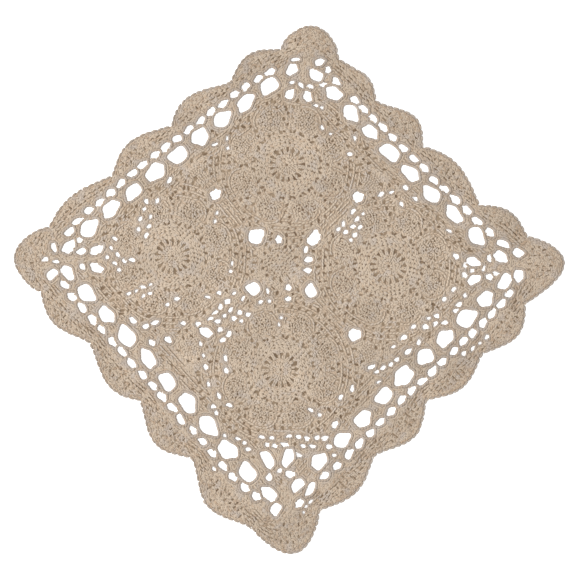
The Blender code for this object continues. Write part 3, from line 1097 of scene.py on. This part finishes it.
def places(x, y):
    """For each place the piece that its yarn belongs to, and the way that its rows run."""
    names = list(MEDALLIONS)
    reach = np.stack([np.hypot(x - MEDALLIONS[name].x, y - MEDALLIONS[name].y) for name in names])
    nearest = reach.argmin(axis=0)
    middles = np.array([MEDALLIONS[name] for name in names])[nearest]
    who = np.array(["medallion_" + name for name in names], dtype=object)[nearest]
    way = np.arctan2(y - middles[:, 1], x - middles[:, 0]) + np.pi / 2
    off_centre = np.hypot(x - CENTRE[0], y - CENTRE[1])
    who[off_centre < CENTRE_REACH] = "centre"
    round_centre = np.arctan2(y - CENTRE[1], x - CENTRE[0]) + np.pi / 2
    way = np.where(off_centre < CENTRE_TURN_REACH, round_centre, way)
    depths = side_depths(x, y)
    side = depths.argmin(axis=0)
    netting = (reach.min(axis=0) > NET_REACH) | (depths.min(axis=0) < NET_DEPTH)
    who[netting] = np.array(["net_" + name for name in SIDES], dtype=object)[side][netting]
    angles = np.array([side_angle(side) for side in SIDES.values()])
    return who, np.where(netting, angles[side], way)


def lay_by_place(cloth, rows, **how):
    who, _ = places(rows[:, X], rows[:, Y])
    for piece in sorted(set(who)):
        cloth.lay(piece, rows[who == piece], **how)


def fill(cloth):
    """Grains on all bare cloth, in rows that run the way of the stitches there."""
    lattice = np.arange(-HALF_GRID, HALF_GRID, FILL_PITCH)
    for number in range(FILL_PASSES):
        x, y = np.meshgrid(lattice, lattice)
        x = x.ravel() + cloth.chance.uniform(0, FILL_PITCH)
        y = y.ravel() + cloth.chance.uniform(0, FILL_PITCH)
        bare = ~cloth.taken[cloth.cell(y), cloth.cell(x)]
        x, y = x[bare], y[bare]
        _, way = places(x, y)
        way = way + cloth.chance.choice((-FILL_SLANT, FILL_SLANT), len(x))
        size = FILL_GRAINS[len(FILL_GRAINS) * number // FILL_PASSES]
        lay_by_place(cloth, grains(x, y, way, *size))


def join_cords(cloth):
    """Cords out from the centre where two medallions meet, and across the way to each medallion."""
    lines = []
    for side in SIDES.values():
        middle, way = join_axis(side)
        for aside in JOIN_CORDS:
            start = place_on(middle, way, aside, 0.0)
            near = math.dist(start, CENTRE)
            lines.append([place_on(start, way, 0.0, out - near) for out in JOIN_ENDS])
    for centre in MEDALLIONS.values():
        angle = math.atan2(centre.y - CENTRE[1], centre.x - CENTRE[0])
        for out in FLAT_CORDS:
            ends = (-FLAT_CORD_REACH, FLAT_CORD_REACH)
            start = out_from(CENTRE, angle, out)
            lines.append([out_from(start, angle + math.pi / 2, reach) for reach in ends])
    for number, line in enumerate(lines):
        lay_by_place(cloth, cord(line, closed=False, breaks=number), **CORD_LAID)


def side_rows(cloth):
    """Rows along each side, between its rows of gaps."""
    for side in SIDES.values():
        for number in range(SIDE_ROWS):
            inward = FIRST_SIDE_ROW + number * SIDE_ROW_PITCH
            line = [loop_place(side, index, inward) for index in range(side.loops)]
            lay_by_place(cloth, cord(line, closed=False, breaks=number + inward), **CORD_LAID)


def rounds(cloth, centre):
    """Chains, then cords, round a medallion, with short upright grains between them."""
    for number in range(ROUNDS):
        reach = FIRST_ROUND + number * ROUND_PITCH
        if number < FIRST_CORD_ROUND:
            lay_by_place(cloth, chain(ring(centre, reach)), clear=GROOVE)
        else:
            lay_by_place(cloth, cord(ring(centre, reach), breaks=number + centre.x), **CORD_LAID)
        reach += ROUND_PITCH / 2
        count = round(2 * math.pi * reach / ROUND_POST_PITCH)
        lay_by_place(cloth, radial_grains(centre, reach, count, 0.0, ROUND_POST_LENGTH), clear=GROOVE)


def lay_all(edge, holes):
    cloth = Cloth(edge, holes, LAY_SEED)
    for gap, phase in holes:
        lay_by_place(cloth, rim_row(gap, phase, 0), reach=CLOSE, care=RIM_CARE)
    for pit in all_pits():
        cloth.close_pit(pit)
    edging(cloth)
    for number, (name, centre) in enumerate(MEDALLIONS.items()):
        medallion(cloth, "medallion_" + name, centre, MOTIF_TURN * number)
    centre_motif(cloth)
    fillers(cloth)
    for gap, phase in holes:
        lay_by_place(cloth, rim_row(gap, phase, 1))
    join_cords(cloth)
    side_rows(cloth)
    for centre in MEDALLIONS.values():
        rounds(cloth, centre)
    fill(cloth)
    laid = {piece: np.vstack(rows) for piece, rows in cloth.pieces.items()}
    for name in SIDES:
        laid["edging_" + name][:, TONE] *= EDGING_TONE
    return laid, cloth.pits


# Heights, in millimetres
GROUND_TOP = 0.9
YARN_LEVEL = 1.25
ROUND_LEVEL = 0.85
HIGHEST = 1.5
FLATTER = 0.6
GROUND_IN = 1.3
GROUND_BACK = 0.8
RIM_POINTS = 14
SMALL_RIM_POINTS = 10

# A grain's three cross sections, by place along it and size, a section's points, across and up, and
# how far the texture goes to each side of its middle
SECTIONS = ((-0.66, 0.72), (0.0, 1.0), (0.66, 0.72))
DOME_POINTS = ((-1.0, -0.35), (-0.55, 0.84), (0.55, 0.84), (1.0, -0.35))
# The place across a grain also sets its painted side shade; the spindles' small spread keeps them nearly
# free of it
DOME_TEXTURE = 0.5
SPINDLE_SIDES = 5
SPINDLE_ANGLES = [2 * math.pi * (side + 0.25) / SPINDLE_SIDES for side in range(SPINDLE_SIDES)]
SPINDLE_POINTS = [(math.cos(angle), math.sin(angle)) for angle in SPINDLE_ANGLES]
SPINDLE_TEXTURE = 0.2


def grain_shape(section, texture, closed):
    """A grain's corners, along, across and up from -1 to 1, its faces, and the corners' places across it."""
    sides = len(section)
    corners = [(-1.0, 0.0, 0.0)]
    for along, size in SECTIONS:
        corners += [(along, across * size, up * size) for across, up in section]
    corners.append((1.0, 0.0, 0.0))
    places_across = [0.5, *[0.5 + texture * across for across, _ in section] * len(SECTIONS), 0.5]
    last = len(corners) - 1
    faces = []
    for side in range(sides if closed else sides - 1):
        after = (side + 1) % sides
        faces.append((0, 1 + after, 1 + side))
        faces.append((last, last - sides + side, last - sides + after))
        for row in range(len(SECTIONS) - 1):
            a, b = 1 + sides * row + side, 1 + sides * row + after
            faces.append((a, b, b + sides, a + sides))
    return np.array(corners), faces, np.array(places_across)


def shaped(rows, template, level):
    """The corners of each grain in millimetres, and where they lie across and along it."""
    verts, _, across = template
    along = verts[None, :, 0] * rows[:, LENGTH, None] / 2
    aside = verts[None, :, 1] * rows[:, WIDTH, None] / 2
    cos, sin = np.cos(rows[:, ANGLE, None]), np.sin(rows[:, ANGLE, None])
    x = rows[:, X, None] + along * cos - aside * sin
    y = rows[:, Y, None] + along * sin + aside * cos
    high = np.minimum(rows[:, WIDTH, None], HIGHEST) / 2
    high = high * np.where(rows[:, ROUND, None] > 0, 1.0, FLATTER)
    z = level + rows[:, LIFT, None] + verts[None, :, 2] * high
    z = z + verts[None, :, 0] * rows[:, TILT, None] - verts[None, :, 1] * rows[:, ROLL, None]
    u = np.broadcast_to(across, x.shape)
    return np.stack((x, y, z), axis=-1).reshape(-1, 3), np.stack((u, along), axis=-1).reshape(-1, 2)


def in_scene(name, data):
    made = bpy.data.objects.new(name, data)
    bpy.context.scene.collection.objects.link(made)
    return made


def yarn_piece(name, rows, middle, material, chance):
    """One mesh of many grains, with a tone for each and its yarn's twist along the texture."""
    points, texture, tones, faces = [], [], [], []
    dome = grain_shape(DOME_POINTS, DOME_TEXTURE, False)
    spindle = grain_shape(SPINDLE_POINTS, SPINDLE_TEXTURE, True)
    for whole, template, level in ((0, dome, YARN_LEVEL), (1, spindle, ROUND_LEVEL)):
        mine = rows[rows[:, ROUND] == whole]
        if not len(mine):
            continue
        at, uv = shaped(mine, template, level)
        size = len(template[0])
        first = sum(len(one) for one in points)
        for start in range(first, first + len(at), size):
            faces += [[start + corner for corner in face] for face in template[1]]
        points.append(at)
        texture.append(uv)
        room = TONE_SPREAD * np.minimum(mine[:, TONE], 1 - mine[:, TONE])
        tones.append(np.repeat(mine[:, TONE] + room * chance.uniform(-1, 1, len(mine)), size))
    points = np.vstack(points)
    points[:, :2] -= middle
    mesh = bpy.data.meshes.new(name)
    mesh.from_pydata((points * MM).tolist(), [], faces)
    mesh.shade_smooth()
    corners = [corner for face in faces for corner in face]
    uv = mesh.uv_layers.new(name="yarn")
    uv.data.foreach_set("uv", np.vstack(texture)[corners].astype(np.float32).ravel())
    tone = mesh.attributes.new("tone", "FLOAT", "POINT")
    tone.data.foreach_set("value", np.concatenate(tones).astype(np.float32))
    mesh.materials.append(material)
    return in_scene(name, mesh)


def inset(points, distance):
    """A closed clockwise line moved inwards."""
    points = np.asarray(points, float)
    way = np.roll(points, -1, axis=0) - np.roll(points, 1, axis=0)
    way /= np.hypot(way[:, 0], way[:, 1])[:, None]
    return points + np.stack((way[:, 1], -way[:, 0]), axis=-1) * distance


def ground_piece(edge, holes, middle, material):
    """The thin ground under the yarn, with the outline and every hole."""
    curve = bpy.data.curves.new("ground", "CURVE")
    curve.dimensions = "2D"
    curve.fill_mode = "BOTH"
    curve.extrude = GROUND_TOP * MM / 2
    lines = [inset(edge, GROUND_IN)]
    for gap, phase in holes:
        steps = RIM_POINTS if gap.long > LARGE_GAP else SMALL_RIM_POINTS
        lines.append(gap_rim(gap, phase, GROUND_BACK, steps))
    for line in lines:
        spline = curve.splines.new("POLY")
        spline.points.add(len(line) - 1)
        flat = np.zeros((len(line), 4))
        flat[:, :2] = (line - middle) * MM
        flat[:, 3] = 1.0
        spline.points.foreach_set("co", flat.ravel())
        spline.use_cyclic_u = True
    drawn = in_scene("drawn", curve)
    bpy.context.view_layer.update()
    mesh = bpy.data.meshes.new_from_object(drawn.evaluated_get(bpy.context.evaluated_depsgraph_get()))
    bpy.data.objects.remove(drawn)
    mesh.name = "ground"
    heights = np.zeros(len(mesh.vertices) * 3, np.float32)
    mesh.vertices.foreach_get("co", heights)
    heights[2::3] += GROUND_TOP * MM / 2
    mesh.vertices.foreach_set("co", heights)
    mesh.materials.clear()
    mesh.materials.append(material)
    return in_scene("ground", mesh)


# The floors of painted shade in the pits: their points, level, and how far each rises above the last
PIT_SIDES = 10
PIT_LEVEL = GROUND_TOP + 0.03
PIT_RISE = 0.08
PIT_STEP = 0.618


def painted_shade_floors(pits, middle, material):
    """Painted shade: dark flat floors at the bottoms of the gaps between stitches that don't go through, as
    one mesh.
    """
    angle = np.linspace(0, 2 * np.pi, PIT_SIDES, endpoint=False)
    points, faces = [], []
    for number, pit in enumerate(pits):
        level = PIT_LEVEL + PIT_RISE * (number * PIT_STEP % 1)
        along, across = np.cos(angle) * pit.long / 2, np.sin(angle) * pit.wide / 2
        x, y = turned(pit, math.radians(pit.turn), along, across)
        faces.append(range(len(points), len(points) + PIT_SIDES))
        points += [(a * MM, b * MM, level * MM) for a, b in zip(x - middle[0], y - middle[1])]
    mesh = bpy.data.meshes.new("painted_shade_floors")
    mesh.from_pydata(points, [], faces)
    mesh.materials.append(material)
    return in_scene("painted_shade_floors", mesh)


# Colours are linear
# The first yarn colour is painted shade: a darker grey for yarn at the edges of gaps and of the cloth
YARN_RIM_SHADE = (0.302, 0.255, 0.213, 1.0)
YARN_DEEP = (0.316, 0.226, 0.152, 1.0)
YARN_PALE = (0.376, 0.302, 0.228, 1.0)
YARN_GREY = (0.364, 0.308, 0.258, 1.0)
PATCH_GREY = (0.343, 0.296, 0.258, 1.0)
# The ground's top brown is partly painted shade: darker than the yarn, for the shaded yarn between stitches
GROUND_SHADE_BROWN = (0.318, 0.248, 0.185, 1.0)
SHADE_DEEP = (0.115, 0.078, 0.050, 1.0)
SHADE_PALE = (0.210, 0.157, 0.108, 1.0)
FLOOR_PALE = (0.95, 0.95, 0.95, 1.0)
WHITE = (1.0, 1.0, 1.0, 1.0)

# The yarn's colours by its tone, the lowest being painted shade at edges, and the painted shade that darkens
# each grain towards one side, as in the grooves between grains
TONE_STOPS = ((0.0, YARN_RIM_SHADE), (0.24, YARN_DEEP), (0.5, YARN_PALE), (0.8, YARN_PALE), (1.0, YARN_GREY))
SIDE_SHADE_STOPS = ((0.0, 0.92), (0.3, 0.94), (0.7, 1.0), (1.0, 1.0))

# How bright the yarn is in each part of the doily
YARN_SHARES = {"edging": 0.935, "net": 0.965, "medallion": 1.01, "centre": 1.01}


def feed(tree, socket, value):
    """Links a socket to an output, or sets it to a value."""
    if isinstance(value, bpy.types.NodeSocket):
        tree.links.new(value, socket)
    else:
        socket.default_value = value


def node(tree, kind, **inputs):
    made = tree.nodes.new("ShaderNode" + kind)
    for name, value in inputs.items():
        feed(tree, made.inputs[name.replace("_", " ")], value)
    return made


def calculate(tree, operation, *values):
    made = tree.nodes.new("ShaderNodeMath")
    made.operation = operation
    for socket, value in zip(made.inputs, values):
        feed(tree, socket, value)
    return made.outputs["Value"]


def ramp(tree, share, stops):
    """A colour for each share from 0 to 1. stops has the places and colours, in order."""
    made = node(tree, "ValToRGB", Fac=share)
    elements = made.color_ramp.elements
    for number in (0, -1):
        elements[number].position, elements[number].color = stops[number]
    for place, colour in stops[1:-1]:
        elements.new(place).color = colour
    return made.outputs["Color"]


def noise(tree, place, **inputs):
    return node(tree, "TexNoise", Vector=place, **inputs).outputs["Fac"]


def ranged(tree, value, low, high, to_low, to_high):
    made = node(tree, "MapRange", Value=value, From_Min=low, From_Max=high, To_Min=to_low, To_Max=to_high)
    return made.outputs["Result"]


def matte(name, roughness, gloss):
    """A new material, its nodes and its shader's inputs."""
    material = bpy.data.materials.new(name)
    material.use_nodes = True
    shader = material.node_tree.nodes["Principled BSDF"]
    shader.inputs["Roughness"].default_value = roughness
    shader.inputs["Specular IOR Level"].default_value = gloss
    return material, material.node_tree, shader.inputs


def dimmed(colour, share):
    return (*[value * share for value in colour[:3]], 1.0)


def cotton(name, share):
    """Soft matte cotton yarn. Each grain has its own tone, and its plies show as slanting ridges."""
    material, tree, surface = matte(name, 0.9, 0.2)
    surface["Sheen Weight"].default_value = 0.25
    surface["Sheen Roughness"].default_value = 0.6
    place = node(tree, "TexCoord").outputs
    tone = node(tree, "Attribute")
    tone.attribute_name = "tone"
    colour = ramp(tree, tone.outputs["Fac"], [(at, dimmed(shade, share)) for at, shade in TONE_STOPS])
    greyer = noise(tree, place["Object"], Scale=120.0, Detail=1.0)
    how_grey = ranged(tree, greyer, 0.54, 0.68, 0.0, 0.6)
    blend = node(tree, "MixRGB", Fac=how_grey, Color1=colour, Color2=dimmed(PATCH_GREY, share))
    patchy = noise(tree, place["Object"], Scale=26.0, Detail=3.0, Roughness=0.75)
    fine = noise(tree, place["Object"], Scale=1500.0, Detail=2.0)
    shade = ranged(tree, patchy, 0.35, 0.65, 0.9, 1.06)
    speck = ranged(tree, fine, 0.3, 0.7, 0.96, 1.03)
    across = node(tree, "SeparateXYZ", Vector=place["UV"]).outputs["X"]
    # Painted shade: each grain darker towards one side, as in the grooves between grains
    sides = ramp(tree, across, [(at, (grey, grey, grey, 1.0)) for at, grey in SIDE_SHADE_STOPS])
    tint = node(tree, "VectorMath")
    tint.operation = "SCALE"
    feed(tree, tint.inputs[0], blend.outputs["Color"])
    both = calculate(tree, "MULTIPLY", shade, speck)
    feed(tree, tint.inputs["Scale"], calculate(tree, "MULTIPLY", both, sides))
    feed(tree, surface["Base Color"], tint.outputs["Vector"])
    plies = node(tree, "TexWave", Vector=place["UV"], Scale=1.1, Distortion=1.2)
    plies.bands_direction = "DIAGONAL"
    rough = calculate(tree, "MULTIPLY_ADD", fine, 0.5, plies.outputs["Fac"])
    bump = node(tree, "Bump", Strength=0.22, Distance=0.00012, Height=rough)
    feed(tree, surface["Normal"], bump.outputs["Normal"])
    return material


def pit_shade_material():
    """Painted shade, the colour of yarn in deep shade."""
    material, tree, surface = matte("yarn_in_shade", 1.0, 0.0)
    uneven_shade = noise(tree, node(tree, "TexCoord").outputs["Object"], Scale=140.0, Detail=2.0)
    feed(tree, surface["Base Color"], ramp(tree, uneven_shade, ((0.35, SHADE_DEEP), (0.65, SHADE_PALE))))
    return material


def ground_material():
    """Painted shade on top, a brown darker than the yarn for the shaded bottom of the gaps between stitches,
    and the backs of stitches underneath.
    """
    material, tree, surface = matte("ground", 0.95, 0.1)
    facts = node(tree, "NewGeometry").outputs
    height = node(tree, "SeparateXYZ", Vector=facts["True Normal"]).outputs["Z"]
    up = calculate(tree, "GREATER_THAN", height, 0.5)
    place = node(tree, "TexCoord").outputs["Object"]
    cells = node(tree, "TexVoronoi", Vector=place, Scale=480.0).outputs["Distance"]
    backs = ramp(tree, cells, ((0.0, YARN_PALE), (0.7, YARN_DEEP)))
    # Faces that look up get the painted shade brown
    colour = node(tree, "MixRGB", Fac=up, Color1=backs, Color2=GROUND_SHADE_BROWN)
    feed(tree, surface["Base Color"], colour.outputs["Color"])
    bump = node(tree, "Bump", Strength=0.9, Distance=0.0006, Height=cells)
    bump.invert = True
    feed(tree, surface["Normal"], bump.outputs["Normal"])
    return material


# The photo's frame: what it shows across, and its middle, which is the tables' zero
VIEW_WIDE = 0.4522
CAMERA_UP = 1.5
SENSOR = 36.0
PHOTO_TURN = math.radians(-45)
FLOOR_SIZE = 6.0
FLOOR_DROP = 0.0003

# The light all round, and the lamps: where they are, how wide and bright, and how they are turned
WORLD_LIGHT = 0.62
Lamp = namedtuple("Lamp", "name place size power turn")
LAMPS = (
    Lamp("overhead", (0, 0, 1.7), 0.6, 20.0, (0, 0, 0)),
    Lamp("side", (-1.15, 1.15, 1.25), 0.8, 40.0, (math.radians(-42.6), math.radians(-34), 0)),
)


def stage_floor():
    bpy.ops.mesh.primitive_plane_add(size=FLOOR_SIZE, location=(0, 0, -FLOOR_DROP))
    floor = bpy.context.object
    floor.name = "floor"
    material, _, surface = matte("pale_floor", 0.8, 0.2)
    surface["Base Color"].default_value = FLOOR_PALE
    floor.data.materials.append(material)


def studio(middle):
    world = bpy.data.worlds.new("studio")
    world.use_nodes = True
    world.node_tree.nodes["Background"].inputs["Color"].default_value = WHITE
    world.node_tree.nodes["Background"].inputs["Strength"].default_value = WORLD_LIGHT
    bpy.context.scene.world = world
    for lamp in LAMPS:
        light = bpy.data.lights.new(lamp.name, "AREA")
        light.shape = "DISK"
        light.size = lamp.size
        light.energy = lamp.power
        made = in_scene(lamp.name, light)
        made.location = lamp.place
        made.rotation_euler = lamp.turn
    bpy.context.scene.view_settings.view_transform = "Standard"
    camera = bpy.data.cameras.new("camera")
    camera.sensor_width = SENSOR
    camera.lens = SENSOR * CAMERA_UP / VIEW_WIDE
    made = in_scene("camera", camera)
    made.location = (-middle[0] * MM, -middle[1] * MM, CAMERA_UP)
    made.rotation_euler = (0, 0, PHOTO_TURN)
    bpy.context.scene.camera = made


def main():
    solid_edge = np.array(edge_outline(SOLID_STEPS))
    middle = (solid_edge.max(axis=0) + solid_edge.min(axis=0)) / 2
    edge = edge_outline(EDGE_STEPS)
    holes = all_holes()
    laid, pits = lay_all(edge, holes)
    yarns = {part: cotton("cotton_" + part, share) for part, share in YARN_SHARES.items()}
    chance = np.random.default_rng(TONE_SEED)
    pieces = []
    for name in sorted(laid):
        yarn = yarns[name.split("_")[0]]
        pieces.append(yarn_piece(name, laid[name], middle, yarn, chance))
    # The pits' floors are painted shade
    pieces.append(painted_shade_floors(pits, middle, pit_shade_material()))
    ground = ground_piece(edge, holes, middle, ground_material())
    for piece in [ground, *pieces]:
        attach(piece, "root")
        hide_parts("doily")
    stage_floor()
    studio(middle)


main()
